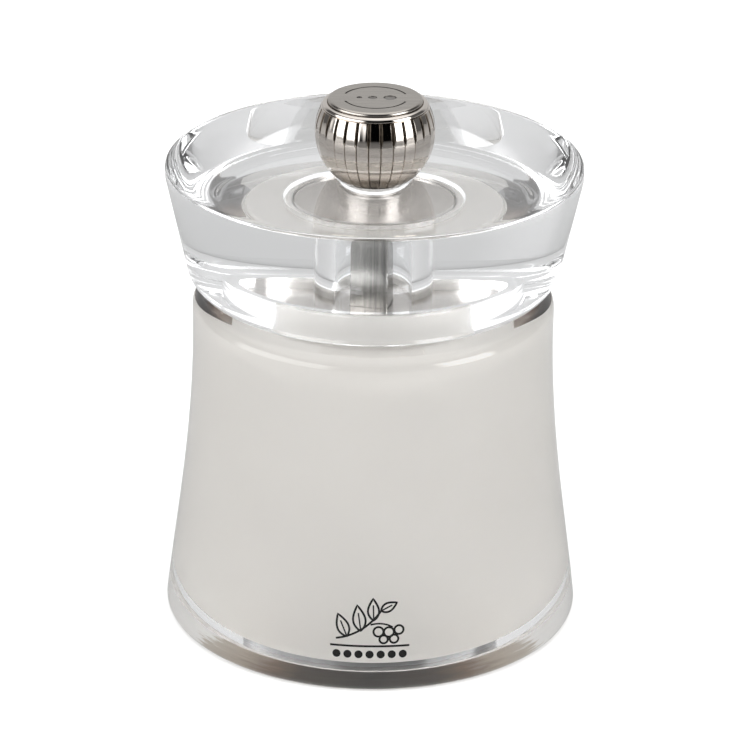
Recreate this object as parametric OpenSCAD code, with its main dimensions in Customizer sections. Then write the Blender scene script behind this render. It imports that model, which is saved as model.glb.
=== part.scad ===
// Short pepper mill: clear turned head and casing, white lining, steel burr mechanism.
// The origin is the centre of the face it stands on, +Z runs up the drive shaft.

/* [Casing] */
// Height of the clear casing
casing_h = 50.2; // [49.8:0.1:50.2]
// Radius of the casing at its foot
foot_r = 30.85; // [30:0.05:31.5]
// Radius of the casing at its waist
waist_r = 26.55; // [26.2:0.05:27]
// Radius of the rounded edge round the foot
foot_edge_r = 1; // [0.6:0.1:1.2]
// Radius of the rounded shoulder under the head
shoulder_r = 2; // [1.5:0.1:2.4]
// Radius of the bore that takes the lining
bore_r = 20.5; // [20.4:0.05:20.6]
// Thickness of the steel ring let in under the foot
foot_ring_t = 0.3; // [0.2:0.05:0.5]

/* [Lining] */
// Wall thickness of the white lining
lining_wall = 1.2; // [0.9:0.1:1.3]
// Height of the lining's lower edge above the table
lining_z = 0.65; // [0.5:0.05:1]
// Outer radius of the neck under the head
neck_r = 20; // [19.8:0.05:20.1]
// Height of the neck's flat top above the table
neck_top = 51.3; // [51:0.05:51.4]
// Inner radius of the spigot that centres the head, which is the filling hole
spigot_in = 12.65; // [12.6:0.05:12.8]
// Outer radius of the spigot
spigot_out = 13.7; // [13.5:0.05:13.8]
// Height of the spigot's top above the table
spigot_top = 54.9; // [54:0.1:55.2]
// Height at which the neck collar meets the lining
collar_z = 45; // [43:0.5:46]

/* [Head] */
// Height of the head's underside above the table
head_z = 51.6; // [51:0.1:52]
// Height of the head's rim above the table
rim_z = 70.2; // [69.8:0.1:70.6]
// Radius of the head at its rim
rim_r = 30.3; // [29.8:0.05:30.6]
// Height of the straight land below the rim
land_h = 1.5; // [1:0.1:2]
// Radius of the rounded edge at the rim
rim_edge_r = 0.4; // [0.3:0.05:0.6]
// Lean of the head's side, in degrees from upright
side_lean = 12.1; // [11:0.1:13]
// Radius of the rounded lower corner of the head
corner_r = 3.9; // [3.4:0.1:4.2]
// Depth of the dish in the head's top
dish_depth = 2.2; // [1.6:0.1:2.6]
// Radius of the dish at its edge
dish_r = 29.3; // [28.5:0.1:29.5]
// Radius of the pocket that drops over the spigot
pocket_r = 13.9; // [13.8:0.05:14.2]
// Height of the ceiling of the groove round the drive plate
groove_z = 55.4; // [55.2:0.1:56]
// Radius of the seat that the drive plate is bonded to
plate_seat_r = 12.4; // [12:0.05:12.45]
// Height of the drive plate's seat above the table
plate_seat_z = 53.9; // [53.6:0.1:54.2]
// Radius of the shaft hole through the head
head_hole_r = 5.5; // [5.3:0.1:5.6]

/* [Knob] */
// Radius of the ball knob
knob_r = 8.72; // [8.6:0.02:8.8]
// Height of the ball's centre
knob_z = 74.9; // [74.8:0.1:75]
// Height of the knob's flat top
knob_top = 80; // [79.8:0.1:80.2]
// Height of the flat under the knob
knob_foot = 67.3; // [67.2:0.05:67.5]
// Number of flutes round the knob
flute_count = 30; // [24:2:36]
// Width of the line between two flutes
flute_line = 0.3; // [0.2:0.05:0.4]
// Depth of the line between two flutes
flute_depth = 0.25; // [0.15:0.05:0.3]

/* [Drive] */
// Side of the square drive shaft
shaft_side = 5; // [4.8:0.1:5]
// Turn of the shaft's flats about the vertical axis, in degrees
shaft_turn = -17; // [-45:1:45]
// Radius of the threads at the shaft's upper end
tip_r = 2.5; // [2.4:0.05:2.5]
// Clearance round the square shaft in a hole, each side
square_gap = 0.1; // [0.06:0.02:0.12]
// Running clearance of a round joint, on the radius
run_gap = 0.05; // [0.03:0.01:0.08]

/* [Mechanism] */
// Underside of the polished base plate
plate_z = 2.2; // [2:0.1:2.4]
// Thickness of the base plate
plate_t = 1; // [0.8:0.1:1]
// Height of the grinding zone of the burrs
burr_h = 10; // [9.5:0.5:10]
// Largest radius of the rotor
rotor_r = 9.4; // [9.2:0.1:9.6]
// Widening of the burrs towards the foot, radius per height
burr_slope = 0.32; // [0.3:0.01:0.34]
// Gap between the burrs' cutting faces
burr_gap = 0.5; // [0.45:0.05:0.6]
// Number of spiral teeth on the rotor
rotor_teeth = 14; // [10:1:16]
// Number of teeth in the stator
stator_teeth = 24; // [18:2:28]
// Number of arms of the bridge, and of screws in each set
arm_count = 3; // [3:1:3]
// Number of turns in the spring
spring_turns = 5; // [4:1:6]
// Diameter of the spring wire
spring_wire = 0.9; // [0.8:0.1:1]

/* [Hidden] */
$fn = 96;

clear = [0.86, 0.9, 0.92, 0.35];
white_paint = [0.86, 0.85, 0.83];
cream_plastic = [0.8, 0.78, 0.73];
dark_steel = [0.35, 0.34, 0.33];
bright_steel = [0.78, 0.77, 0.75];
nickel = [0.66, 0.62, 0.57];
brass = [0.76, 0.62, 0.34];

over = 1;                                   // overrun of a cut beyond the solid it cuts
flare_low = [foot_r - 1.35, 13];            // where the casing's flare leaves the foot
flare_high = [waist_r + 0.35, 26];          // where the flare reaches the waist
waist_z = 43;
outline_steps = 24;

foot_ring_in = 23.4;
foot_ring_out = 29.5;
ring_gap = 0.05;

lining_r = bore_r - lining_wall;
neck_wall = 1.5;
neck_top_t = 1.5;
neck_chamfer = 0.3;
neck_foot = casing_h - 0.6;

// Housing, bridge and spring heights, stacked up from the base plate
plate_top = plate_z + plate_t;
plate_r = lining_r - 0.1;
plate_hole_r = 10.5;
housing_top = 24;
stator_r = 12.5;
stator_z = plate_top;
stator_top = stator_z + burr_h;
funnel_r = 15;
funnel_z = 19;
bridge_t = 2;
bridge_top = housing_top + bridge_t;
bridge_hub_r = 6.4;
bridge_hub_z = 22;
bridge_rim_r = 19;
bridge_rim_in = 15;
arm_w = 3.6;
bush_r = 4.6;
bush_flange_r = 5.9;
bush_flange_t = 1.2;
bush_flange_z = bridge_hub_z - 0.2 - bush_flange_t;
bush_top = bridge_top + 0.6;
rotor_z = 4;
rotor_top = rotor_z + burr_h;
seat_r = 5.6;
seat_t = 0.8;
seat_top = rotor_top + seat_t;
spring_r = 4.9;
washer_r = 5;
washer_t = 0.6;
nut_flats = 7;
nut_t = 1.8;
tail_r = 2;
tail_z = 1.5;
square_top = 66.4;
tip_top = 75.5;

screw_ring_r = 16.6;
screw_r = 1.2;
screw_head_r = 2.1;
screw_turn = 90;
bridge_turn = 30;
base_screw_depth = 7;
bridge_screw_depth = 6;
bridge_screw_r = 0.8;
bridge_screw_head_r = 1.4;
bridge_screw_head_t = 0.9;

drive_plate_t = 1;
drive_plate_z = plate_seat_z - drive_plate_t;
drive_plate_r = plate_seat_r - 0.05;
knob_seat_gap = 0.15;
insert_r = 3.6;
insert_top = 76.8;
insert_hole_top = tip_top + 0.9;
disc_r = 6.6;
disc_t = 0.6;

// Points of a cubic curve between two ends with two handles
function curve_point(a, b, c, d, t) =
    pow(1 - t, 3) * a + 3 * pow(1 - t, 2) * t * b + 3 * (1 - t) * t * t * c + t * t * t * d;
function curve_points(a, b, c, d, steps) =
    [for (i = [0 : steps]) curve_point(a, b, c, d, i / steps)];
// Points of an arc about a centre, between two angles
function arc_points(centre, r, from, to, steps) =
    [for (i = [0 : steps]) let (a = from + (to - from) * i / steps) centre + r * [cos(a), sin(a)]];

module turned(outline) {
    rotate_extrude($fn = 128) polygon(outline);
}

module ring(outer_r, inner_r, z, h) {
    translate([0, 0, z]) difference() {
        cylinder(r = outer_r, h = h);
        translate([0, 0, -over]) cylinder(r = inner_r, h = h + 2 * over);
    }
}

module round_hole(r, z, h) {
    translate([0, 0, z]) cylinder(r = r, h = h);
}

// Square prism on the shaft's axis, turned with the shaft's flats
module square_bar(side, z, h) {
    rotate(shaft_turn) translate([-side / 2, -side / 2, z]) cube([side, side, h]);
}

module square_hole(z, h) {
    square_bar(shaft_side + 2 * square_gap, z, h);
}

module around(count, r, turn) {
    for (i = [0 : count - 1]) rotate(turn + 360 * i / count) translate([r, 0, 0]) children();
}

module outer_casing() {
    outline = concat(
        [[bore_r, 0], [foot_ring_in - ring_gap, 0], [foot_ring_in - ring_gap, foot_ring_t]],
        [[foot_ring_out + ring_gap, foot_ring_t], [foot_ring_out + ring_gap, 0], [foot_r - foot_edge_r, 0]],
        arc_points([foot_r - foot_edge_r, foot_edge_r], foot_edge_r, -75, -15, 4),
        curve_points([foot_r, foot_edge_r], flare_low, flare_high, [waist_r, waist_z], outline_steps),
        [[waist_r, casing_h - shoulder_r]],
        arc_points([waist_r - shoulder_r, casing_h - shoulder_r], shoulder_r, 12, 78, 6),
        [[waist_r - shoulder_r, casing_h], [bore_r, casing_h]]
    );
    color(clear) turned(outline);
}

// Flat ring let into a groove in the casing's underside
module foot_ring() {
    color(bright_steel) ring(foot_ring_out, foot_ring_in, 0, foot_ring_t);
}

module white_lining() {
    color(white_paint) ring(bore_r, lining_r, lining_z, collar_z - lining_z);
}

// Collar set in the top of the bore, with the spigot that the head turns on
module neck_collar() {
    color(white_paint) turned([
        [lining_r, collar_z], [bore_r, collar_z], [bore_r, neck_foot], [neck_r, neck_foot],
        [neck_r, neck_top - neck_chamfer], [neck_r - neck_chamfer, neck_top], [spigot_out, neck_top],
        [spigot_out, spigot_top], [spigot_in, spigot_top], [spigot_in, neck_top - neck_top_t],
        [neck_r - neck_wall, neck_top - 2 * neck_top_t], [neck_r - neck_wall, collar_z + 2]
    ]);
}

module burr_housing() {
    color(cream_plastic) difference() {
        turned([
            [stator_r, plate_top], [plate_r, plate_top], [plate_r, housing_top], [funnel_r, housing_top],
            [funnel_r, funnel_z], [stator_r - 1.4, stator_top + 1.2], [stator_r - 1.4, stator_top],
            [stator_r, stator_top]
        ]);
        around(arm_count, screw_ring_r, screw_turn)
            round_hole(screw_r, plate_top - over, base_screw_depth + over);
        around(arm_count, screw_ring_r, bridge_turn)
            round_hole(bridge_screw_r, housing_top - bridge_screw_depth, bridge_screw_depth + over);
    }
}

// One straight tooth gap, cut along the cone of the burrs and leaned over like a spiral
module tooth_gap(r_low, z_low, h, lean, width) {
    translate([r_low, 0, z_low - over]) rotate([lean, -atan(burr_slope), 0]) rotate(45)
        translate([-width / 2, -width / 2, 0]) cube([width, width, h + 3 * over]);
}

module grinding_stator() {
    mouth_z = stator_z + 0.5 * burr_h;
    low_r = rotor_r + burr_gap + burr_slope * (rotor_z - stator_z);
    mid_r = low_r - burr_slope * (mouth_z - stator_z);
    color(dark_steel) difference() {
        turned([
            [low_r, stator_z], [stator_r, stator_z], [stator_r, stator_top],
            [mid_r + 1.6, stator_top], [mid_r, mouth_z]
        ]);
        around(stator_teeth, 0, 0) tooth_gap(low_r, stator_z, burr_h, -20, 0.9);
    }
}

module base_plate() {
    color(bright_steel) difference() {
        ring(plate_r, plate_hole_r, plate_z, plate_t);
        around(arm_count, screw_ring_r, screw_turn) {
            round_hole(screw_r + 0.1, plate_z - over, plate_t + 2 * over);
            translate([0, 0, plate_z - 0.01])
                cylinder(r1 = screw_head_r + 0.1, r2 = screw_r + 0.1, h = 0.8);
        }
    }
}

// Countersunk screw standing point up, with a cross slot in its head
module countersunk_screw(z, shank_r, head_r, length) {
    difference() {
        union() {
            translate([0, 0, z]) cylinder(r1 = head_r, r2 = shank_r, h = 0.7);
            round_hole(shank_r, z, length);
        }
        for (a = [0, 90]) rotate(a)
            translate([-head_r * 0.6, -0.2, z - over]) cube([head_r * 1.2, 0.4, over + 0.4]);
    }
}

module base_plate_screws() {
    color(bright_steel) around(arm_count, screw_ring_r, screw_turn)
        countersunk_screw(plate_z, screw_r - 0.05, screw_head_r, base_screw_depth);
}

module shaft_bridge() {
    color(bright_steel) difference() {
        union() {
            ring(bridge_rim_r, bridge_rim_in, housing_top, bridge_t);
            around(arm_count, 0, bridge_turn + 60)
                translate([bridge_hub_r - 1.2, -arm_w / 2, housing_top])
                    cube([bridge_rim_in + 2.2 - bridge_hub_r, arm_w, bridge_t]);
            round_hole(bridge_hub_r, bridge_hub_z, bridge_top - bridge_hub_z);
        }
        round_hole(bush_r + run_gap, bridge_hub_z - over, bridge_top - bridge_hub_z + 2 * over);
        around(arm_count, screw_ring_r, bridge_turn)
            round_hole(bridge_screw_r + 0.1, housing_top - over, bridge_t + 2 * over);
    }
}

module bridge_screws() {
    color(dark_steel) around(arm_count, screw_ring_r, bridge_turn) difference() {
        union() {
            round_hole(bridge_screw_r - 0.05, bridge_top - bridge_screw_depth, bridge_screw_depth + 0.1);
            round_hole(bridge_screw_head_r, bridge_top, bridge_screw_head_t);
        }
        translate([-screw_head_r, -0.15, bridge_top + 0.5]) cube([2 * screw_head_r, 0.3, over]);
    }
}

module shaft_guide_bush() {
    color(cream_plastic) difference() {
        union() {
            round_hole(bush_r, bush_flange_z, bush_top - bush_flange_z);
            round_hole(bush_flange_r, bush_flange_z, bush_flange_t);
        }
        square_hole(bush_flange_z - over, bush_top - bush_flange_z + 2 * over);
    }
}

// Helix of wire, swept ring by ring, with flat ends
module grinding_spring() {
    sides = 8;
    per_turn = 20;
    rings = spring_turns * per_turn;
    low = seat_top + 0.05 + spring_wire / 2;
    high = bush_flange_z - 0.05 - spring_wire / 2;
    points = [for (i = [0 : rings]) for (j = [0 : sides - 1])
        let (
            a = 360 * i / per_turn,
            b = 360 * j / sides,
            r = spring_r + spring_wire / 2 * cos(b),
            z = low + (high - low) * i / rings + spring_wire / 2 * sin(b)
        ) [r * cos(a), r * sin(a), z]];
    walls = [for (i = [0 : rings - 1]) for (j = [0 : sides - 1])
        let (k = (j + 1) % sides)
        [i * sides + j, (i + 1) * sides + j, (i + 1) * sides + k, i * sides + k]];
    ends = [[for (j = [0 : sides - 1]) j], [for (j = [0 : sides - 1]) rings * sides + sides - 1 - j]];
    color(bright_steel) polyhedron(points, concat(walls, ends), convexity = 10);
}

module spring_seat() {
    color(bright_steel) difference() {
        round_hole(seat_r, rotor_top, seat_t);
        square_hole(rotor_top - over, seat_t + 2 * over);
    }
}

module grinding_rotor() {
    color(dark_steel) difference() {
        turned([
            [0, rotor_z], [rotor_r, rotor_z],
            [rotor_r - burr_slope * burr_h, rotor_top], [0, rotor_top]
        ]);
        square_hole(rotor_z - over, burr_h + 2 * over);
        around(rotor_teeth, 0, 0) tooth_gap(rotor_r + 0.1, rotor_z, burr_h, 28, 1.1);
    }
}

module rotor_washer() {
    color(bright_steel) ring(washer_r, tail_r + 0.1, rotor_z - washer_t, washer_t);
}

module rotor_nut() {
    color(bright_steel) difference() {
        translate([0, 0, rotor_z - washer_t - nut_t]) cylinder(d = nut_flats / cos(30), h = nut_t, $fn = 6);
        round_hole(tail_r + 0.02, rotor_z - washer_t - nut_t - over, nut_t + 2 * over);
    }
}

module drive_shaft() {
    color(bright_steel) union() {
        round_hole(tail_r, tail_z, rotor_z + 0.5 - tail_z);
        square_bar(shaft_side, rotor_z, square_top - rotor_z);
        round_hole(tip_r, square_top - over, tip_top - square_top + over);
    }
}

module head_block() {
    land_z = rim_z - land_h;
    lean = tan(side_lean);
    corner_z = head_z + corner_r;
    corner_x = rim_r - lean * (land_z - corner_z) - corner_r / cos(side_lean);
    dish_ball_r = (dish_r * dish_r + dish_depth * dish_depth) / (2 * dish_depth);
    dish_ball_z = rim_z - dish_depth + dish_ball_r;
    dish_edge = asin(dish_r / dish_ball_r);
    hole_edge = asin(head_hole_r / dish_ball_r);
    outline = concat(
        [[pocket_r, head_z]],
        arc_points([corner_x, corner_z], corner_r, -90, -side_lean, 10),
        [[rim_r, land_z]],
        arc_points([rim_r - rim_edge_r, rim_z - rim_edge_r], rim_edge_r, 0, 90, 4),
        arc_points([0, dish_ball_z], dish_ball_r, dish_edge - 90, hole_edge - 90, 16),
        [[head_hole_r, plate_seat_z], [plate_seat_r, plate_seat_z]],
        [[plate_seat_r, groove_z], [pocket_r, groove_z]]
    );
    color(clear) difference() {
        turned(outline);
        translate([0, 0, knob_z]) sphere(r = knob_r + knob_seat_gap);
    }
}

module drive_plate() {
    color(bright_steel) difference() {
        round_hole(drive_plate_r, drive_plate_z, drive_plate_t);
        square_hole(drive_plate_z - over, drive_plate_t + 2 * over);
    }
}

module knob_shell() {
    line_top = knob_top - 1.9;
    color(nickel) difference() {
        intersection() {
            translate([0, 0, knob_z]) sphere(r = knob_r);
            round_hole(knob_r + over, knob_foot, knob_top - knob_foot);
        }
        round_hole(insert_r, knob_foot - over, insert_top - knob_foot + over);
        round_hole(disc_r, knob_top - disc_t, disc_t + over);
        intersection() {
            translate([0, 0, knob_z]) difference() {
                sphere(r = knob_r + over);
                sphere(r = knob_r - flute_depth);
            }
            union() {
                around(flute_count, 0, 0) translate([0, -flute_line / 2, knob_foot + 0.4])
                    cube([knob_r + 2 * over, flute_line, line_top - knob_foot - 0.4]);
            }
        }
    }
}

module knob_thread_insert() {
    color(brass) difference() {
        round_hole(insert_r, knob_foot, insert_top - knob_foot);
        round_hole(tip_r + run_gap, knob_foot - over, insert_hole_top - knob_foot + over);
    }
}

module knob_top_disc() {
    color(nickel) round_hole(disc_r - 0.05, knob_top - disc_t, disc_t);
}

outer_casing();
foot_ring();
white_lining();
neck_collar();
burr_housing();
grinding_stator();
base_plate();
base_plate_screws();
shaft_bridge();
bridge_screws();
shaft_guide_bush();
grinding_spring();
spring_seat();
grinding_rotor();
rotor_washer();
rotor_nut();
drive_shaft();
head_block();
drive_plate();
knob_shell();
knob_thread_insert();
knob_top_disc();
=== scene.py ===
from math import asin, atan2, cos, degrees, pi, radians, sin, sqrt, tan

import bmesh
import bpy
from mathutils import Matrix, Vector


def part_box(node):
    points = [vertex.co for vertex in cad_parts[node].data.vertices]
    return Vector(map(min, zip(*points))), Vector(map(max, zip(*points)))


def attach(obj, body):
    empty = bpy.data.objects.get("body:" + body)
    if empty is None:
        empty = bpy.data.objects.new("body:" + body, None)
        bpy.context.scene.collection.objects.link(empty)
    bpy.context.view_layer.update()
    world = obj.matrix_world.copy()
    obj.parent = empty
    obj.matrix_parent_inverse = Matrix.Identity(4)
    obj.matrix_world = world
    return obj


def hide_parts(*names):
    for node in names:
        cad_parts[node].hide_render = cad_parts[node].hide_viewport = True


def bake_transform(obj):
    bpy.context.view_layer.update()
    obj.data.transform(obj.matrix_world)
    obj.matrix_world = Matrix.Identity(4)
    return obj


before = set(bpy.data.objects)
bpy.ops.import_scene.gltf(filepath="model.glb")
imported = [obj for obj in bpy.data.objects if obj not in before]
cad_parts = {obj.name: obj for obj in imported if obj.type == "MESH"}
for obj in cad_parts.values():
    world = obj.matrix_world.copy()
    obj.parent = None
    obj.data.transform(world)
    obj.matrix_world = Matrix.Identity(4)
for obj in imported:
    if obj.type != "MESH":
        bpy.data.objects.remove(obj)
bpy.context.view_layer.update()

MM = 0.001
TURN_STEPS = 256                 # facets round a turned piece
SHARP_ANGLE = radians(32)

# Sizes in millimetres, most of them as the CAD source has them
FOOT_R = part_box("outer_casing")[1].x / MM
CASING_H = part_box("outer_casing")[1].z / MM
WAIST_R = 26.55
WAIST_Z = 43
BORE_R = 20.5
SHOULDER_R = 2
FOOT_EDGE_R = 1
LINING_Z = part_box("white_lining")[0].z / MM
LINING_R = 19.3
COLLAR_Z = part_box("neck_collar")[0].z / MM
NECK_TOP = 51.3
SPIGOT_IN = 12.65
SPIGOT_OUT = 13.7
SPIGOT_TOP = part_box("neck_collar")[1].z / MM
NECK_R = 20
NECK_WALL = 1.5
NECK_TOP_T = 1.5
FOOT_RING_IN = 23.4
FOOT_RING_OUT = 29.5
FOOT_RING_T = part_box("foot_ring")[1].z / MM
SINK = 0.03                      # how far a backed face sits in the acrylic, so no air shows between them
HEAD_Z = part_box("head_block")[0].z / MM
RIM_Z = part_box("head_block")[1].z / MM
RIM_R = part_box("head_block")[1].x / MM
LAND_H = 1.5
RIM_EDGE_R = 0.4
SIDE_LEAN = radians(12.1)
CORNER_R = 3.9
DISH_DEPTH = 2.2
DISH_R = 29.3
POCKET_R = 13.9
GROOVE_Z = 55.4
PLATE_SEAT_R = 12.4
PLATE_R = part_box("drive_plate")[1].x / MM
PLATE_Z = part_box("drive_plate")[0].z / MM
PLATE_SEAT_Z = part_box("drive_plate")[1].z / MM
HEAD_HOLE_R = 5.5
KNOB_R = 8.72
KNOB_Z = 74.9
KNOB_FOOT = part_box("knob_shell")[0].z / MM
KNOB_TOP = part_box("knob_shell")[1].z / MM
KNOB_SEAT_GAP = 0.15
FLUTES = 30
SCOOP_LOW = 75.2                 # between these heights the thin grooves widen into scoops
SCOOP_HIGH = 76.4
FLUTE_TOP = 78.75
DISC_R = 6.55
DISC_SEAT_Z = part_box("knob_top_disc")[0].z / MM
INSERT_R = 3.6
INSERT_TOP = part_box("knob_thread_insert")[1].z / MM
SHAFT_SIDE = 5
SHAFT_TURN = radians(-17)
SQUARE_TOP = 66.4
TIP_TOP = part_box("drive_shaft")[1].z / MM
TAIL_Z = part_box("drive_shaft")[0].z / MM
SQUARE_FOOT = 4
TAIL_R = 2
SPRING_R = 4.9
SPRING_WIRE = 0.9
SPRING_TURNS = 5


# ---------------------------------------------------------------- camera

def make_camera():
    """The photograph's view: a long lens, looking down a little from the front."""
    elevation = radians(23.91)
    distance = 0.5337
    target = Vector((0, 0, 0.03724))
    roll = radians(0.6)
    focal_length = 175.135135
    shift = -0.00344594595
    camera = bpy.data.cameras.new("camera")
    camera.sensor_width = 36
    camera.lens = focal_length
    camera.shift_x = shift
    camera.clip_start = 0.01
    holder = bpy.data.objects.new("camera", camera)
    bpy.context.scene.collection.objects.link(holder)
    back = Vector((0, -cos(elevation), sin(elevation)))
    turn = back.to_track_quat("Z", "Y").to_matrix().to_4x4() @ Matrix.Rotation(roll, 4, "Z")
    holder.matrix_world = Matrix.Translation(target + back * distance) @ turn
    bpy.context.scene.camera = holder


# ---------------------------------------------------------------- mesh helpers

def add_mesh(name, points, faces, material, smooth=True):
    """A mesh object from points in millimetres, with outward normals and sharp edges kept."""
    mesh = bpy.data.meshes.new(name)
    mesh.from_pydata([Vector(p) * MM for p in points], [], faces)
    shape = bmesh.new()
    shape.from_mesh(mesh)
    bmesh.ops.remove_doubles(shape, verts=shape.verts, dist=0.0005 * MM)
    bmesh.ops.recalc_face_normals(shape, faces=shape.faces)
    shape.to_mesh(mesh)
    shape.free()
    if smooth:
        mesh.shade_smooth()
        mesh.set_sharp_from_angle(angle=SHARP_ANGLE)
    mesh.materials.append(material)
    piece = bpy.data.objects.new(name, mesh)
    bpy.context.scene.collection.objects.link(piece)
    return piece


def settle(piece, body, slot, *nodes):
    """The piece rides on a body and stands for CAD nodes, which it hides; the slot is not used."""
    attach(piece, body)
    if nodes:
        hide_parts(*nodes)


def arc(centre_r, centre_z, radius, start, end, steps):
    """Points of an arc in the (radius, height) plane, angles in degrees."""
    turns = [radians(start + (end - start) * i / steps) for i in range(steps + 1)]
    return [(centre_r + radius * cos(a), centre_z + radius * sin(a)) for a in turns]


def cubic(a, b, c, d, steps):
    """Points of a cubic curve between two ends with two handles."""
    points = []
    for i in range(steps + 1):
        t = i / steps
        weights = ((1 - t) ** 3, 3 * (1 - t) ** 2 * t, 3 * (1 - t) * t * t, t ** 3)
        points.append(tuple(sum(w * p[k] for w, p in zip(weights, (a, b, c, d))) for k in (0, 1)))
    return points


def grid_faces(columns, rows, closed_rows):
    """Quads of a grid that closes round its columns, and round its rows if asked."""
    faces = []
    for i in range(columns):
        j = (i + 1) % columns
        for k in range(rows if closed_rows else rows - 1):
            n = (k + 1) % rows
            faces.append((i * rows + k, j * rows + k, j * rows + n, i * rows + n))
    return faces


def lathe(name, outline, material, steps=TURN_STEPS):
    """A turned piece from a closed outline of (radius, height) points."""
    points = []
    for i in range(steps):
        a = 2 * pi * i / steps
        points += [(r * cos(a), r * sin(a), z) for r, z in outline]
    return add_mesh(name, points, grid_faces(steps, len(outline), True), material)


def smooth_step(low, high, x):
    """Runs smoothly from 0 at low to 1 at high."""
    t = min(1, max(0, (x - low) / (high - low)))
    return t * t * (3 - 2 * t)


# ---------------------------------------------------------------- materials

def new_material(name, **inputs):
    """A Principled material; inputs name the shader's sockets, with _ for a space."""
    material = bpy.data.materials.new(name)
    material.use_nodes = True
    shader = material.node_tree.nodes["Principled BSDF"]
    for key, value in inputs.items():
        shader.inputs[key.replace("_", " ")].default_value = value
    return material, material.node_tree, shader


def add_noise(tree, scale, stretch=(1, 1, 1), detail=4, rough=0.5):
    """Noise over the piece's own metres, stretched along the axes where asked."""
    place = tree.nodes.new("ShaderNodeTexCoord")
    mapping = tree.nodes.new("ShaderNodeMapping")
    noise = tree.nodes.new("ShaderNodeTexNoise")
    mapping.inputs["Scale"].default_value = stretch
    noise.inputs["Scale"].default_value = scale
    noise.inputs["Detail"].default_value = detail
    noise.inputs["Roughness"].default_value = rough
    tree.links.new(place.outputs["Object"], mapping.inputs["Vector"])
    tree.links.new(mapping.outputs["Vector"], noise.inputs["Vector"])
    return noise.outputs["Fac"]


def add_rings(tree, scale):
    """Fine turning marks round the vertical axis."""
    place = tree.nodes.new("ShaderNodeTexCoord")
    wave = tree.nodes.new("ShaderNodeTexWave")
    wave.wave_type = "RINGS"
    wave.rings_direction = "Z"
    wave.inputs["Scale"].default_value = scale
    wave.inputs["Distortion"].default_value = 1.5
    wave.inputs["Detail"].default_value = 3
    tree.links.new(place.outputs["Object"], wave.inputs["Vector"])
    return wave.outputs["Fac"]


def smooth_ramp(tree, value, low, high, strength=1):
    """Grows smoothly from nothing to a strength as a value runs from low to high."""
    node = tree.nodes.new("ShaderNodeMapRange")
    node.interpolation_type = "SMOOTHSTEP"
    node.inputs["From Min"].default_value = low
    node.inputs["From Max"].default_value = high
    node.inputs["To Max"].default_value = strength
    tree.links.new(value, node.inputs["Value"])
    return node.outputs["Result"]


def work_out(tree, operation, *terms):
    """The result of a Math node on terms that are sockets or plain numbers."""
    node = tree.nodes.new("ShaderNodeMath")
    node.operation = operation
    for place, term in zip(node.inputs, terms):
        if isinstance(term, (int, float)):
            place.default_value = term
        else:
            tree.links.new(term, place)
    return node.outputs["Value"]


def remap(tree, value, low, high):
    """Spreads a noise's middle range over low to high."""
    node = tree.nodes.new("ShaderNodeMapRange")
    node.inputs["From Min"].default_value = 0.25
    node.inputs["From Max"].default_value = 0.75
    node.inputs["To Min"].default_value = low
    node.inputs["To Max"].default_value = high
    tree.links.new(value, node.inputs["Value"])
    return node.outputs["Result"]


def tint(tree, value, low, high):
    """A colour that runs from low to high with a value."""
    ramp = tree.nodes.new("ShaderNodeValToRGB")
    ramp.color_ramp.elements[0].position = 0.3
    ramp.color_ramp.elements[1].position = 0.7
    ramp.color_ramp.elements[0].color = (*low, 1)
    ramp.color_ramp.elements[1].color = (*high, 1)
    tree.links.new(value, ramp.inputs["Fac"])
    return ramp.outputs["Color"]


def add_bump(tree, shader, height, strength, depth_mm):
    """Gives the surface a relief of a depth in millimetres."""
    bump = tree.nodes.new("ShaderNodeBump")
    bump.inputs["Strength"].default_value = strength
    bump.inputs["Distance"].default_value = depth_mm * MM
    tree.links.new(height, bump.inputs["Height"])
    tree.links.new(bump.outputs["Normal"], shader.inputs["Normal"])


def clear_acrylic():
    """Polished acrylic: clear, with the faintest ripple of the polish on its faces."""
    cool = (0.985, 0.992, 1, 1)
    material, tree, shader = new_material("clear_acrylic", Base_Color=cool, Roughness=0, IOR=1.49)
    shader.inputs["Transmission Weight"].default_value = 1
    ripple = add_noise(tree, 90, detail=1)
    add_bump(tree, shader, ripple, 0.25, 0.01)
    return material


def white_lacquer():
    """Warm white lacquer with a faint cloudiness and orange peel."""
    material, tree, shader = new_material("white_lacquer", Roughness=0.45)
    shader.inputs["Specular IOR Level"].default_value = 0.3
    cloud = add_noise(tree, 60, detail=3)
    colour = tint(tree, cloud, (0.845, 0.815, 0.77), (0.87, 0.84, 0.795))
    tree.links.new(colour, shader.inputs["Base Color"])
    peel = add_noise(tree, 2600, detail=2)
    add_bump(tree, shader, peel, 0.3, 0.004)
    return material


def polished_nickel():
    """Warm polished nickel with a fine haze, and painted shade round the knob's foot."""
    material, tree, shader = new_material("polished_nickel", Metallic=1)
    cloud = add_noise(tree, 420, detail=4)
    colour = tint(tree, cloud, (0.60, 0.555, 0.51), (0.66, 0.615, 0.57))
    place = tree.nodes.new("ShaderNodeTexCoord")
    parts = tree.nodes.new("ShaderNodeSeparateXYZ")
    painted_foot_shade = tree.nodes.new("ShaderNodeMix")
    painted_foot_shade.data_type = "RGBA"
    painted_foot_shade.inputs["B"].default_value = (0.16, 0.135, 0.105, 1)
    tree.links.new(place.outputs["Object"], parts.inputs["Vector"])
    # painted shade: the colour darkens towards the knob's foot
    bright_from = (KNOB_FOOT + 3.4) * MM
    shade_below = (KNOB_FOOT + 1.6) * MM
    share = smooth_ramp(tree, parts.outputs["Z"], bright_from, shade_below)
    tree.links.new(share, painted_foot_shade.inputs["Factor"])
    tree.links.new(colour, painted_foot_shade.inputs["A"])
    tree.links.new(painted_foot_shade.outputs["Result"], shader.inputs["Base Color"])
    haze = add_noise(tree, 900, stretch=(1, 1, 0.25), detail=5)
    tree.links.new(remap(tree, haze, 0.05, 0.11), shader.inputs["Roughness"])
    add_bump(tree, shader, haze, 0.15, 0.004)
    return material


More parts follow.
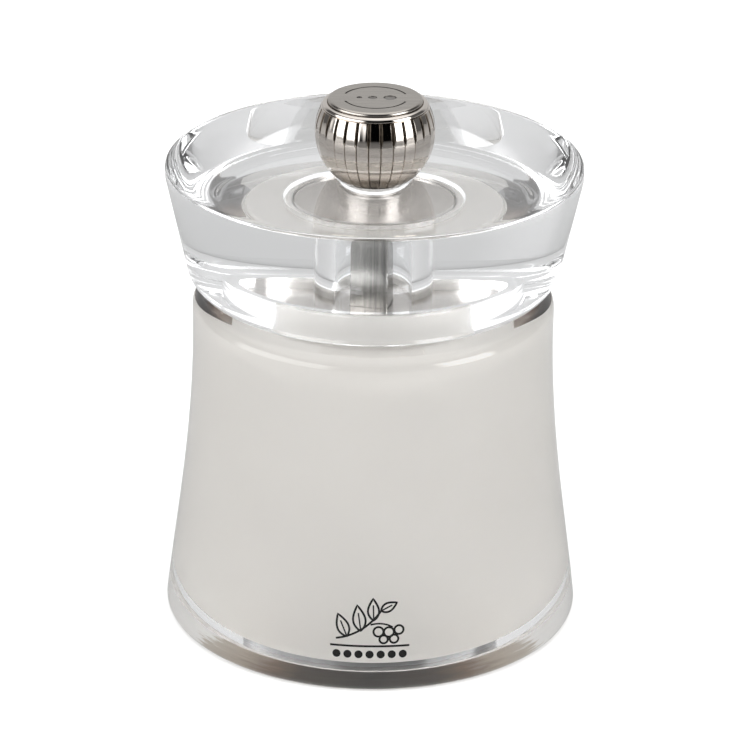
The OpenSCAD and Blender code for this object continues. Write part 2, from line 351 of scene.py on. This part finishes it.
def nickel_painted_groove_shade():
    """The same plating, darkened as painted shade in the cuts between the flutes."""
    material, tree, shader = new_material("nickel_painted_groove_shade", Metallic=1)
    mottle = add_noise(tree, 1400, detail=5, rough=0.6)
    # painted shade: near-black tones for the cuts
    colour = tint(tree, mottle, (0.035, 0.028, 0.022), (0.11, 0.09, 0.07))
    tree.links.new(colour, shader.inputs["Base Color"])
    tree.links.new(remap(tree, mottle, 0.25, 0.45), shader.inputs["Roughness"])
    add_bump(tree, shader, mottle, 0.3, 0.01)
    return material


def satin_disc_painted_shade():
    """Satin nickel with fine cross-brushing, its colour a little darker than the polished knob's as painted
    shade.
    """
    material, tree, shader = new_material("satin_nickel_painted_shade", Metallic=1)
    brush = add_noise(tree, 1800, stretch=(0.08, 1, 1), detail=5, rough=0.6)
    # painted shade: the colour is darker than the knob's nickel
    colour = tint(tree, brush, (0.37, 0.345, 0.315), (0.45, 0.42, 0.385))
    tree.links.new(colour, shader.inputs["Base Color"])
    tree.links.new(remap(tree, brush, 0.16, 0.26), shader.inputs["Roughness"])
    add_bump(tree, shader, brush, 0.15, 0.004)
    return material


def faced_steel():
    """Bright steel faced on a lathe, with rings round the vertical axis."""
    material, tree, shader = new_material("faced_steel", Metallic=1)
    rings = add_rings(tree, 900)
    colour = tint(tree, rings, (0.56, 0.53, 0.5), (0.6, 0.57, 0.54))
    tree.links.new(colour, shader.inputs["Base Color"])
    smear = add_noise(tree, 500, detail=4)
    tree.links.new(remap(tree, smear, 0.18, 0.26), shader.inputs["Roughness"])
    add_bump(tree, shader, rings, 0.06, 0.004)
    return material


def streaked_steel_painted_reflection():
    """Streaky steel with a painted reflection: dark at the front and back and light at both sides, as the
    photograph's foot looks.
    """
    material, tree, shader = new_material("streaked_steel_painted_reflection", Metallic=0.35)
    place = tree.nodes.new("ShaderNodeTexCoord")
    polar = tree.nodes.new("ShaderNodeVectorMath")
    polar.operation = "NORMALIZE"
    spread = tree.nodes.new("ShaderNodeVectorMath")
    spread.operation = "LENGTH"
    join = tree.nodes.new("ShaderNodeCombineXYZ")
    parts = tree.nodes.new("ShaderNodeSeparateXYZ")
    tree.links.new(place.outputs["Object"], polar.inputs[0])
    tree.links.new(place.outputs["Object"], spread.inputs[0])
    tree.links.new(polar.outputs["Vector"], parts.inputs["Vector"])
    streaks = 220
    tree.links.new(parts.outputs["X"], join.inputs["X"])
    tree.links.new(parts.outputs["Y"], join.inputs["Y"])
    tree.links.new(work_out(tree, "MULTIPLY", spread.outputs["Value"], streaks), join.inputs["Z"])
    noise = tree.nodes.new("ShaderNodeTexNoise")
    noise.inputs["Scale"].default_value = 5
    noise.inputs["Detail"].default_value = 6
    noise.inputs["Roughness"].default_value = 0.65
    tree.links.new(join.outputs["Vector"], noise.inputs["Vector"])
    smears = noise.outputs["Fac"]
    ragged = 0.3
    tones = tree.nodes.new("ShaderNodeValToRGB")
    stops = ((0.12, (0.006, 0.004, 0.003)), (0.5, (0.045, 0.032, 0.024)), (0.66, (0.19, 0.13, 0.095)),
             (0.8, (0.46, 0.4, 0.34)), (0.95, (0.6, 0.55, 0.49)))
    for position, colour in stops:
        stop = tones.color_ramp.elements.new(position)
        stop.color = (*colour, 1)
    tones.color_ramp.elements.remove(tones.color_ramp.elements[0])
    # painted reflection: the tone runs with |X|, dark at the front and back and light at the sides, and the
    # smears streak it
    side = work_out(tree, "ABSOLUTE", parts.outputs["X"])
    tree.links.new(work_out(tree, "MULTIPLY_ADD", smears, ragged, side), tones.inputs["Fac"])
    tree.links.new(tones.outputs["Color"], shader.inputs["Base Color"])
    tree.links.new(remap(tree, smears, 0.35, 0.5), shader.inputs["Roughness"])
    add_bump(tree, shader, smears, 0.2, 0.01)
    return material


def drawn_steel():
    """Drawn bar, with long fine lines up its sides."""
    material, tree, shader = new_material("drawn_steel", Metallic=1)
    lines = add_noise(tree, 1500, stretch=(1, 1, 0.02), detail=5, rough=0.7)
    tree.links.new(tint(tree, lines, (0.24, 0.235, 0.225), (0.46, 0.45, 0.43)), shader.inputs["Base Color"])
    tree.links.new(remap(tree, lines, 0.16, 0.3), shader.inputs["Roughness"])
    add_bump(tree, shader, lines, 0.25, 0.006)
    return material


def burr_steel():
    """Dark hardened steel with a blotchy heat-treated skin."""
    material, tree, shader = new_material("burr_steel", Metallic=1)
    skin = add_noise(tree, 700, detail=6, rough=0.65)
    tree.links.new(tint(tree, skin, (0.16, 0.15, 0.145), (0.3, 0.285, 0.27)), shader.inputs["Base Color"])
    tree.links.new(remap(tree, skin, 0.3, 0.5), shader.inputs["Roughness"])
    add_bump(tree, shader, skin, 0.35, 0.02)
    return material


def moulded_plastic():
    """Cream moulded plastic with a fine spark-eroded grain."""
    material, tree, shader = new_material("moulded_plastic")
    cloud = add_noise(tree, 120, detail=2)
    tree.links.new(tint(tree, cloud, (0.60, 0.57, 0.51), (0.66, 0.63, 0.57)), shader.inputs["Base Color"])
    grain = add_noise(tree, 3200, detail=3)
    tree.links.new(remap(tree, grain, 0.42, 0.58), shader.inputs["Roughness"])
    add_bump(tree, shader, grain, 0.35, 0.012)
    return material


def turned_brass():
    """Brass with fine turning marks."""
    material, tree, shader = new_material("turned_brass", Metallic=1)
    marks = add_noise(tree, 1400, stretch=(0.1, 0.1, 1), detail=4)
    tree.links.new(tint(tree, marks, (0.6, 0.45, 0.2), (0.76, 0.6, 0.32)), shader.inputs["Base Color"])
    tree.links.new(remap(tree, marks, 0.2, 0.32), shader.inputs["Roughness"])
    add_bump(tree, shader, marks, 0.2, 0.01)
    return material


def printed_ink():
    """Pad-printed black, a little uneven in cover."""
    material, tree, shader = new_material("printed_ink")
    shader.inputs["Specular IOR Level"].default_value = 0.15
    cover = add_noise(tree, 2400, detail=3)
    colour = tint(tree, cover, (0.006, 0.006, 0.006), (0.014, 0.013, 0.012))
    tree.links.new(colour, shader.inputs["Base Color"])
    tree.links.new(remap(tree, cover, 0.4, 0.6), shader.inputs["Roughness"])
    add_bump(tree, shader, cover, 0.2, 0.004)
    return material


# ---------------------------------------------------------------- body

def casing_side(steps):
    """The casing's flared outline from the foot's edge up to the waist."""
    foot = (FOOT_R, FOOT_EDGE_R)
    low = (FOOT_R - 1.35, 13)
    high = (WAIST_R + 0.35, 26)
    return cubic(foot, low, high, (WAIST_R, WAIST_Z), steps)


def make_casing(acrylic):
    """The clear outer wall, with a groove in its foot for the ring."""
    shoulder_r = WAIST_R - SHOULDER_R
    shoulder_z = CASING_H - SHOULDER_R
    groove_in = FOOT_RING_IN + SINK
    groove_out = FOOT_RING_OUT - SINK
    groove_top = FOOT_RING_T - SINK
    outline = [(BORE_R, 0), (groove_in, 0), (groove_in, groove_top)]
    outline += [(groove_out, groove_top), (groove_out, 0)]
    outline += [(FOOT_R - FOOT_EDGE_R, 0)]
    outline += arc(FOOT_R - FOOT_EDGE_R, FOOT_EDGE_R, FOOT_EDGE_R, -80, -8, 8)
    outline += casing_side(40)
    outline += arc(shoulder_r, shoulder_z, SHOULDER_R, 0, 90, 14)
    chamfer = 0.25
    outline += [(BORE_R + chamfer, CASING_H), (BORE_R, CASING_H - chamfer)]
    settle(lathe("clear_casing", outline, acrylic), "body", "clear_acrylic", "outer_casing")


def make_foot_ring(steel):
    edge = 0.06
    outline = [(FOOT_RING_IN + edge, 0), (FOOT_RING_OUT - edge, 0)]
    outline += [(FOOT_RING_OUT, edge), (FOOT_RING_OUT, FOOT_RING_T)]
    outline += [(FOOT_RING_IN, FOOT_RING_T), (FOOT_RING_IN, edge)]
    settle(lathe("foot_wear_ring", outline, steel), "body", "bright_steel", "foot_ring")


def make_lining(lacquer):
    """The lining, and above it the neck collar with the spigot that the head turns on."""
    sunk = BORE_R + SINK
    lining = [(LINING_R, LINING_Z), (sunk, LINING_Z), (sunk, COLLAR_Z), (LINING_R, COLLAR_Z)]
    settle(lathe("chamber_lining", lining, lacquer), "body", "white_lacquer", "white_lining")
    neck_foot = CASING_H - 0.6
    edge = 0.35
    inner_r = NECK_R - NECK_WALL
    collar = [(LINING_R, COLLAR_Z), (sunk, COLLAR_Z), (sunk, neck_foot), (NECK_R, neck_foot)]
    collar += arc(NECK_R - edge, NECK_TOP - edge, edge, 0, 90, 5)
    collar += [(SPIGOT_OUT, NECK_TOP), *arc(SPIGOT_OUT - edge, SPIGOT_TOP - edge, edge, 0, 90, 5)]
    collar += arc(SPIGOT_IN + edge, SPIGOT_TOP - edge, edge, 90, 180, 5)
    collar += [(SPIGOT_IN, NECK_TOP - NECK_TOP_T), (inner_r, NECK_TOP - 2 * NECK_TOP_T)]
    collar += [(inner_r, COLLAR_Z + 2)]
    settle(lathe("neck", collar, lacquer), "body", "white_lacquer", "neck_collar")


# ---------------------------------------------------------------- printed mark

def casing_radius(z):
    """Radius of the casing's side at a height on its flare."""
    side = casing_side(60)
    for (r0, z0), (r1, z1) in zip(side, side[1:]):
        if z0 <= z <= z1:
            return r0 + (r1 - r0) * (z - z0) / (z1 - z0)
    return side[-1][0]


def on_casing(x, z, lift):
    """A point at arc length x from the front's middle and height z, lifted off the casing."""
    r = casing_radius(z)
    a = x / r
    return ((r + lift) * sin(a), -(r + lift) * cos(a), z)


def stroke(points, width, closed=False):
    """Corner points and faces of a flat stroke along points, bent onto the casing."""
    half = width / 2
    lift = 0.012
    count = len(points)
    corners = []
    for i, (x, z) in enumerate(points):
        if closed:
            before, after = points[i - 1], points[(i + 1) % count]
        else:
            before, after = points[max(i - 1, 0)], points[min(i + 1, count - 1)]
        dx, dz = after[0] - before[0], after[1] - before[1]
        length = sqrt(dx * dx + dz * dz)
        nx, nz = -dz / length * half, dx / length * half
        for side in (1, -1):
            for out in (lift, -lift):
                corners.append(on_casing(x + side * nx, z + side * nz, out))
    faces = []
    for i in range(count if closed else count - 1):
        a, b = 4 * i, 4 * ((i + 1) % count)
        faces += [(a, a + 2, b + 2, b), (a + 1, b + 1, b + 3, a + 3)]
        faces += [(a, b, b + 1, a + 1), (a + 2, a + 3, b + 3, b + 2)]
    if not closed:
        e = 4 * (count - 1)
        faces += [(0, 1, 3, 2), (e, e + 2, e + 3, e + 1)]
    return corners, faces


def circle(x, z, radius, steps=28):
    """Points of a circle in a plane."""
    turns = [2 * pi * i / steps for i in range(steps)]
    return [(x + radius * cos(a), z + radius * sin(a)) for a in turns]


def leaf(x, z, length, width, turn):
    """A pointed leaf's outline, from its stalk out along a direction in degrees."""
    steps = 12
    side = [(length * i / steps, width / 2 * sin(pi * (i / steps) ** 0.8)) for i in range(steps + 1)]
    outline = side + [(u, -v) for u, v in side[-2:0:-1]]
    a = radians(turn)
    return [(x + u * cos(a) - v * sin(a), z + u * sin(a) + v * cos(a)) for u, v in outline]


def make_print(ink):
    """A generic pepper sprig over a row of plain dots."""
    line = 0.3
    strokes = []
    strokes.append(stroke(cubic((-4.9, 8.1), (-2.6, 8.5), (-0.2, 9.8), (1.6, 12.4), 24), line))
    leaves = ((-3.3, 8.45, 3.6, 1.7, 112), (-1.3, 9.35, 3.9, 1.8, 98),
              (0.55, 10.95, 3.3, 1.6, 92), (1.6, 12.4, 2.6, 1.3, 28))
    for x, z, length, width, turn in leaves:
        strokes.append(stroke(leaf(x, z, length, width, turn), line, closed=True))
        a = radians(turn)
        strokes.append(stroke([(x, z), (x + 0.7 * length * cos(a), z + 0.7 * length * sin(a))], line * 0.7))
    strokes.append(stroke(cubic((0.1, 10.3), (1.4, 10.7), (2.6, 10.4), (3.3, 9.9), 10), line * 0.8))
    berries = ((1.25, 9.25, 0.72), (2.75, 9.2, 0.72), (4.2, 9.5, 0.66), (2.0, 8.1, 0.6), (3.5, 8.15, 0.62))
    for x, z, radius in berries:
        strokes.append(stroke(circle(x, z, radius), line, closed=True))
    strokes.append(stroke([(-5.75 + 0.5 * i, 7.05) for i in range(24)], line))
    dot_r = 0.3
    for i in range(7):
        strokes.append(stroke(circle(-4.8 + 1.6 * i, 5.8, dot_r), 2 * dot_r - 0.02, closed=True))
    points = []
    faces = []
    for corners, quads in strokes:
        faces += [tuple(len(points) + k for k in quad) for quad in quads]
        points += corners
    settle(add_mesh("printed_sprig", points, faces, ink, smooth=False), "body", "print_ink")


# ---------------------------------------------------------------- head

def make_head(acrylic):
    """The clear dished head, with a pocket below and a seat for the knob above."""
    land_z = RIM_Z - LAND_H
    corner_z = HEAD_Z + CORNER_R
    corner_r = RIM_R - tan(SIDE_LEAN) * (land_z - corner_z) - CORNER_R / cos(SIDE_LEAN)
    ball_r = (DISH_R ** 2 + DISH_DEPTH ** 2) / (2 * DISH_DEPTH)
    ball_z = RIM_Z - DISH_DEPTH + ball_r
    seat_r = KNOB_R + KNOB_SEAT_GAP
    seat_edge = 5.7
    outline = [(POCKET_R, HEAD_Z)]
    outline += arc(corner_r, corner_z, CORNER_R, -90, -degrees(SIDE_LEAN), 16)
    outline += [(RIM_R, land_z)]
    outline += arc(RIM_R - RIM_EDGE_R, RIM_Z - RIM_EDGE_R, RIM_EDGE_R, 0, 90, 6)
    dish_steps = 28
    for i in range(dish_steps + 1):
        r = DISH_R + (seat_edge - DISH_R) * i / dish_steps
        outline.append((r, ball_z - sqrt(ball_r ** 2 - r ** 2)))
    outline += [(HEAD_HOLE_R, KNOB_Z - sqrt(seat_r ** 2 - HEAD_HOLE_R ** 2))]
    seat_z = PLATE_SEAT_Z - SINK
    outline += [(HEAD_HOLE_R, seat_z), (PLATE_SEAT_R, seat_z)]
    outline += [(PLATE_SEAT_R, GROOVE_Z), (POCKET_R, GROOVE_Z)]
    settle(lathe("clear_head", outline, acrylic), "head", "clear_acrylic", "head_block")


# ---------------------------------------------------------------- knob

def flute_offset(angle, z):
    """How far the ball's surface is cut in: wide scoops in its upper half, thin grooves below."""
    share = angle * FLUTES / (2 * pi) % 1 * 2 - 1
    edge = abs(share)
    start = smooth_step(FLUTE_TOP + 0.01, FLUTE_TOP - 0.35, z)
    upper = smooth_step(SCOOP_LOW, SCOOP_HIGH, z)
    half_width = 0.16 + 0.14 * upper
    depth = 0.2 + 0.06 * upper
    dip = 0.05
    return (depth * smooth_step(1 - half_width, 1, edge) + dip * (1 - edge)) * start


def make_knob(nickel, dark):
    """The fluted ball and the raised ring round its disc."""
    ring_in = 6.62
    ring = [(ring_in, 79.1), (6.8, 79.16), *arc(7.12, 78.87, 0.58, 108, 6, 12)]
    ring += [(7.6, 78.86), (7.6, 78.8)]
    foot_edge = 0.15
    top = asin((FLUTE_TOP - KNOB_Z) / KNOB_R)
    bottom = asin((KNOB_FOOT + foot_edge - KNOB_Z) / KNOB_R)
    steps = 44
    heights = [top * (1 - i / steps) + bottom * i / steps for i in range(steps + 1)]
    ball = [(KNOB_R * cos(a), KNOB_Z + KNOB_R * sin(a)) for a in heights]
    inner = [(0, DISC_SEAT_Z), (ring_in, DISC_SEAT_Z)]
    foot = [(ball[-1][0] - 0.12, KNOB_FOOT), (INSERT_R, KNOB_FOOT), (INSERT_R, INSERT_TOP), (0, INSERT_TOP)]
    outline = inner + ring + ball + foot
    fluted = range(len(inner) + len(ring), len(inner) + len(ring) + len(ball))
    shares = (-1, -0.96, -0.92, -0.88, -0.84, -0.79, -0.74, -0.69, -0.45, -0.15,
              0.15, 0.45, 0.69, 0.74, 0.79, 0.84, 0.88, 0.92, 0.96)
    angles = [(i + 0.5 + s / 2) * 2 * pi / FLUTES for i in range(FLUTES) for s in shares]
    points = []
    for a in angles:
        for k, (r, z) in enumerate(outline):
            if k in fluted:
                r -= flute_offset(a, z) * min(1, r / KNOB_R + 0.1)
            points.append((r * cos(a), r * sin(a), z))
    knob = add_mesh("fluted_knob", points, grid_faces(len(angles), len(outline), False), nickel)
    # painted shade: faces in the cuts between the flutes take the dark second material
    knob.data.materials.append(dark)
    for face in knob.data.polygons:
        x, y, z = face.center / MM
        edge = abs(atan2(y, x) * FLUTES / (2 * pi) % 1 * 2 - 1)
        outside = sqrt(x * x + y * y) > INSERT_R + 0.5 and z < FLUTE_TOP - 0.05
        cut_from = 0.95 - 0.28 * smooth_step(SCOOP_LOW, SCOOP_HIGH, z)
        face.material_index = int(outside and edge > cut_from)
    settle(knob, "knob", "nickel_plate", "knob_shell")


def make_knob_disc(nickel, dark):
    """The knob's flat top, with two arcs and three dots, from fine to coarse, cut into it."""
    edge = 0.45
    lip = 6.86
    skirt = arc(lip - edge, KNOB_TOP - edge, edge, -40, 90, 14)
    outline = [(0, DISC_SEAT_Z), (DISC_R, DISC_SEAT_Z), (DISC_R, skirt[0][1]), *skirt, (0, KNOB_TOP)]
    disc = lathe("knob_disc", outline, nickel, steps=192)
    depth = 0.12
    clear = 0.2
    cutters = bmesh.new()

    def add_cut(points):
        levels = (KNOB_TOP - depth, KNOB_TOP + clear)
        rings = [[cutters.verts.new(Vector((x, y, z)) * MM) for x, y in points] for z in levels]
        count = len(points)
        for i in range(count):
            j = (i + 1) % count
            cutters.faces.new((rings[0][i], rings[0][j], rings[1][j], rings[1][i]))
        cutters.faces.new(rings[0][::-1])
        cutters.faces.new(rings[1])

    arc_out = 4.75
    arc_in = 4.45
    sweep = 140
    for start in (20, 200):
        band = [radians(start + sweep * i / 36) for i in range(37)]
        outer = [(arc_out * cos(a), arc_out * sin(a)) for a in band]
        inner = [(arc_in * cos(a), arc_in * sin(a)) for a in reversed(band)]
        add_cut(outer + inner)
    for x, radius in ((-2.3, 0.4), (-0.4, 0.65), (2.1, 0.95)):
        add_cut(circle(x, 0, radius, 32))
    bmesh.ops.recalc_face_normals(cutters, faces=cutters.faces)
    cut_mesh = bpy.data.meshes.new("mark_cutters")
    cutters.to_mesh(cut_mesh)
    cutters.free()
    cut_mesh.materials.append(dark)
    cutter = bpy.data.objects.new("mark_cutters", cut_mesh)
    bpy.context.scene.collection.objects.link(cutter)
    cut = disc.modifiers.new("mark", "BOOLEAN")
    cut.object = cutter
    cut.solver = "EXACT"
    cut.material_mode = "TRANSFER"
    bpy.context.view_layer.update()
    made = bpy.data.meshes.new_from_object(disc.evaluated_get(bpy.context.evaluated_depsgraph_get()))
    disc.modifiers.clear()
    weld = bmesh.new()
    weld.from_mesh(made)
    slivers = 0.004 * MM
    bmesh.ops.remove_doubles(weld, verts=weld.verts, dist=slivers)
    bmesh.ops.dissolve_degenerate(weld, edges=weld.edges, dist=slivers)
    weld.to_mesh(made)
    weld.free()
    disc.data = made
    made.set_sharp_from_angle(angle=SHARP_ANGLE)
    bpy.data.objects.remove(cutter)
    settle(disc, "knob", "nickel_plate", "knob_top_disc")


# ---------------------------------------------------------------- shaft and spring

def thread_rows(z_low, z_high, crest_r, root_r, pitch, columns):
    """Level rows of points up a threaded length; the ridge moves round from row to row, as a helix does."""
    per_pitch = 8
    run_in = 0.3
    run_out = 0.5
    flat_crest = 1.25
    rows = int((z_high - z_low) / pitch * per_pitch)
    made = []
    for k in range(rows + 1):
        z = z_low + (z_high - z_low) * k / rows
        row = []
        for i in range(columns):
            turn = (z / pitch - i / columns) % 1
            ridge = 1 - abs(2 * turn - 1)
            fade = min(smooth_step(z_low, z_low + run_in, z), smooth_step(z_high, z_high - run_out, z))
            r = root_r + (crest_r - root_r) * min(1, ridge * flat_crest) * fade
            a = 2 * pi * i / columns
            row.append((r * cos(a), r * sin(a), z))
        made.append(row)
    return made


def square_row(side, corner, z, columns):
    """A rounded square section, turned with the shaft's flats."""
    row = []
    straight = side / 2 - corner
    for i in range(columns):
        a = 2 * pi * i / columns
        quarter = round((a - SHAFT_TURN) / (pi / 2))
        local = a - SHAFT_TURN - quarter * pi / 2
        r = side / 2 / cos(local)
        corner_start = asin(straight / sqrt(straight ** 2 + (side / 2) ** 2))
        if abs(local) > corner_start:
            c, s = cos(abs(local)), sin(abs(local))
            along = straight * (c + s)
            r = along + sqrt(max(0, along ** 2 - 2 * straight ** 2 + corner ** 2))
        row.append((r * cos(a), r * sin(a), z))
    return row


def make_shaft(steel):
    """The square shaft, threaded at both ends."""
    columns = 144
    tail_pitch = 0.7
    tip_pitch = 0.8
    half_side = SHAFT_SIDE / 2
    rows = thread_rows(TAIL_Z, SQUARE_FOOT, TAIL_R, TAIL_R - 0.3, tail_pitch, columns)
    chamfer = 0.25
    tip_r = 1.7
    corner = 0.3
    end_corner = 0.35
    end_side = SHAFT_SIDE - 2 * chamfer
    rows.append(square_row(end_side, end_corner, SQUARE_FOOT, columns))
    rows.append(square_row(SHAFT_SIDE, corner, SQUARE_FOOT + chamfer, columns))
    rows.append(square_row(SHAFT_SIDE, corner, SQUARE_TOP - chamfer, columns))
    rows.append(square_row(end_side, end_corner, SQUARE_TOP, columns))
    rows += thread_rows(SQUARE_TOP, TIP_TOP - 0.3, half_side, half_side - 0.42, tip_pitch, columns)
    rows.append([(x, y, TIP_TOP) for x, y in circle(0, 0, tip_r, columns)])
    count = len(rows)
    points = [p for row in rows for p in row]
    faces = []
    for k in range(count - 1):
        for i in range(columns):
            j = (i + 1) % columns
            faces.append((k * columns + i, k * columns + j, (k + 1) * columns + j, (k + 1) * columns + i))
    faces.append(tuple(range(columns))[::-1])
    faces.append(tuple((count - 1) * columns + i for i in range(columns)))
    settle(add_mesh("square_shaft", points, faces, steel), "drive", "bright_steel", "drive_shaft")


def make_spring(steel):
    """A wound spring, with its turns closer together at both ends."""
    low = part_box("grinding_spring")[0].z / MM + SPRING_WIRE / 2
    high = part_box("grinding_spring")[1].z / MM - SPRING_WIRE / 2
    sides = 16
    rings = SPRING_TURNS * 40
    closing = 0.12
    points = []
    for i in range(rings + 1):
        t = i / rings
        a = 2 * pi * SPRING_TURNS * t
        rise = smooth_step(-closing, 1 + closing, t)
        z = low + (high - low) * rise if 0 < t < 1 else (low, high)[i == rings]
        for j in range(sides):
            b = 2 * pi * j / sides
            r = SPRING_R + SPRING_WIRE / 2 * cos(b)
            points.append((r * cos(a), r * sin(a), z + SPRING_WIRE / 2 * sin(b)))
    faces = []
    for i in range(rings):
        for j in range(sides):
            k = (j + 1) % sides
            faces.append((i * sides + j, (i + 1) * sides + j, (i + 1) * sides + k, i * sides + k))
    faces.append(tuple(range(sides)))
    faces.append(tuple(rings * sides + j for j in reversed(range(sides))))
    spring = add_mesh("coil_spring", points, faces, steel)
    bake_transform(spring)
    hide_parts("grinding_spring")


def make_drive_plate(steel):
    """The polished plate in the head's underside, with a square hole and a chamfered rim."""
    columns = 144
    hole = SHAFT_SIDE + 0.2
    low, high = PLATE_Z, PLATE_SEAT_Z
    edge = 0.12

    def round_row(r, z):
        return [(r * cos(2 * pi * i / columns), r * sin(2 * pi * i / columns), z) for i in range(columns)]

    rows = [
        square_row(hole, 0.3, low, columns), round_row(PLATE_R - edge, low), round_row(PLATE_R, low + edge),
        round_row(PLATE_R, high - edge), round_row(PLATE_R - edge, high),
        square_row(hole, 0.3, high, columns),
    ]
    count = len(rows)
    points = [rows[k][i] for i in range(columns) for k in range(count)]
    settle(add_mesh("polished_drive_plate", points, grid_faces(columns, count, True), steel),
           "head", "bright_steel", "drive_plate")


# ---------------------------------------------------------------- carried-over parts

def paint(material, *nodes):
    """CAD nodes that are shown as they are take a material."""
    for name in nodes:
        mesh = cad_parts[name].data
        mesh.materials.clear()
        mesh.materials.append(material)


# ---------------------------------------------------------------- stage

def make_floor():
    """A table top: white to the camera, and to other rays grey, with a dark part in front of the mill."""
    material, tree, shader = new_material("floor", Roughness=0.7)
    shader.inputs["Specular IOR Level"].default_value = 0.2
    path = tree.nodes.new("ShaderNodeLightPath")
    place = tree.nodes.new("ShaderNodeTexCoord")
    parts = tree.nodes.new("ShaderNodeSeparateXYZ")
    edge = tree.nodes.new("ShaderNodeMapRange")
    edge.inputs["From Min"].default_value = -0.27
    edge.inputs["From Max"].default_value = -0.24
    edge.inputs["To Min"].default_value = 0.12
    edge.inputs["To Max"].default_value = 0.4
    shade = tree.nodes.new("ShaderNodeMapRange")
    shade.inputs["To Max"].default_value = 0.9
    tree.links.new(place.outputs["Object"], parts.inputs["Vector"])
    tree.links.new(parts.outputs["Y"], edge.inputs["Value"])
    tree.links.new(edge.outputs["Result"], shade.inputs["To Min"])
    tree.links.new(path.outputs["Is Camera Ray"], shade.inputs["Value"])
    tree.links.new(shade.outputs["Result"], shader.inputs["Base Color"])
    half = 4000
    sunk = -0.06                     # clear of the foot, so that air stays under the acrylic
    corners = [(-half, -half, sunk), (half, -half, sunk), (half, half, sunk), (-half, half, sunk)]
    floor = add_mesh("floor", corners, [(0, 1, 2, 3)], material, smooth=False)


def soften(light):
    """The light fades towards the edges of its panel, as a soft box does."""
    light.use_nodes = True
    tree = light.node_tree
    panel = tree.nodes.new("ShaderNodeNewGeometry")
    parts = tree.nodes.new("ShaderNodeSeparateXYZ")
    tree.links.new(panel.outputs["Parametric"], parts.inputs["Vector"])
    edge = 0.5
    full = 0.3
    fades = []
    for axis in ("X", "Y"):
        away = work_out(tree, "ABSOLUTE", work_out(tree, "SUBTRACT", parts.outputs[axis], 0.5))
        fades.append(smooth_ramp(tree, away, edge, full))
    both = work_out(tree, "MULTIPLY", *fades)
    tree.links.new(both, tree.nodes["Emission"].inputs["Strength"])


def add_area(name, place, target, width, height, power):
    """A soft box at a place, turned to a target."""
    light = bpy.data.lights.new(name, "AREA")
    light.shape = "RECTANGLE"
    light.size = width
    light.size_y = height
    light.energy = power
    soften(light)
    holder = bpy.data.objects.new(name, light)
    bpy.context.scene.collection.objects.link(holder)
    holder.location = place
    holder.rotation_euler = (Vector(target) - Vector(place)).to_track_quat("-Z", "Y").to_euler()


def make_lights():
    """Soft boxes either side of the camera and overhead, in a room that is pale behind and above.

    The room has one brightness in mirrors, another through the clear parts and another for soft light.
    """
    centre = (0, 0, 0.04)
    add_area("soft_left", (-0.72, -0.44, 0.3), centre, 1.35, 0.68, 10)
    add_area("soft_right", (0.75, -0.42, 0.3), centre, 0.72, 0.68, 8.5)
    add_area("soft_top", (0, 0.25, 1.3), centre, 2.6, 2.2, 13)
    world = bpy.data.worlds.new("room")
    bpy.context.scene.world = world
    world.use_nodes = True
    tree = world.node_tree
    shader = tree.nodes["Background"]
    shader.inputs["Color"].default_value = (1, 1, 1, 1)
    place = tree.nodes.new("ShaderNodeTexCoord")
    parts = tree.nodes.new("ShaderNodeSeparateXYZ")
    tree.links.new(place.outputs["Generated"], parts.inputs["Vector"])
    across, deep, up = (parts.outputs[axis] for axis in ("X", "Y", "Z"))

    def choose(flag, rest, flagged):
        """One value for the rays that a flag picks out, and another for the rest."""
        node = tree.nodes.new("ShaderNodeMix")
        tree.links.new(flag, node.inputs["Factor"])
        tree.links.new(rest, node.inputs["A"])
        tree.links.new(flagged, node.inputs["B"])
        return node.outputs["Result"]

    behind = smooth_ramp(tree, deep, 0.5, 0.8, 0.72)
    above = smooth_ramp(tree, up, 0.62, 0.8, 0.75)
    left = smooth_ramp(tree, across, -0.5, -0.95, 0.14)
    right = smooth_ramp(tree, across, 0.5, 0.95, 0.14)
    back_and_top = work_out(tree, "ADD", behind, above)
    sides = work_out(tree, "ADD", left, right)
    mirrored = work_out(tree, "ADD", back_and_top, sides)
    refracted = smooth_ramp(tree, up, -1.6, 0.7, 0.78)
    scattered = smooth_ramp(tree, up, -0.9, 0.4, 1.0)
    rays = tree.nodes.new("ShaderNodeLightPath")
    strength = choose(rays.outputs["Is Transmission Ray"], mirrored, refracted)
    strength = choose(rays.outputs["Is Diffuse Ray"], strength, scattered)
    tree.links.new(strength, shader.inputs["Strength"])


def let_light_through():
    """Enough bounces for light to find its way through the thick clear parts."""
    cycles = bpy.context.scene.cycles
    cycles.max_bounces = 24
    cycles.transmission_bounces = 20
    cycles.glossy_bounces = 12


make_camera()
bpy.context.scene.view_settings.view_transform = "Standard"
let_light_through()

acrylic = clear_acrylic()
lacquer = white_lacquer()
nickel = polished_nickel()
satin_nickel_painted_shade = satin_disc_painted_shade()
dark_nickel = nickel_painted_groove_shade()
mirror_steel = faced_steel()
ring_steel = streaked_steel_painted_reflection()
bar_steel = drawn_steel()
hard_steel = burr_steel()
plastic = moulded_plastic()
brass = turned_brass()
ink = printed_ink()

make_casing(acrylic)
make_lining(lacquer)
make_foot_ring(ring_steel)
make_print(ink)
make_head(acrylic)
make_drive_plate(mirror_steel)
make_knob(nickel, dark_nickel)
make_knob_disc(satin_nickel_painted_shade, hard_steel)
make_shaft(bar_steel)
make_spring(bar_steel)
paint(plastic, "burr_housing", "shaft_guide_bush")
paint(hard_steel, "grinding_stator", "grinding_rotor", "bridge_screws")
paint(mirror_steel, "base_plate", "base_plate_screws", "shaft_bridge", "spring_seat")
paint(mirror_steel, "rotor_washer", "rotor_nut")
paint(brass, "knob_thread_insert")

make_floor()
make_lights()
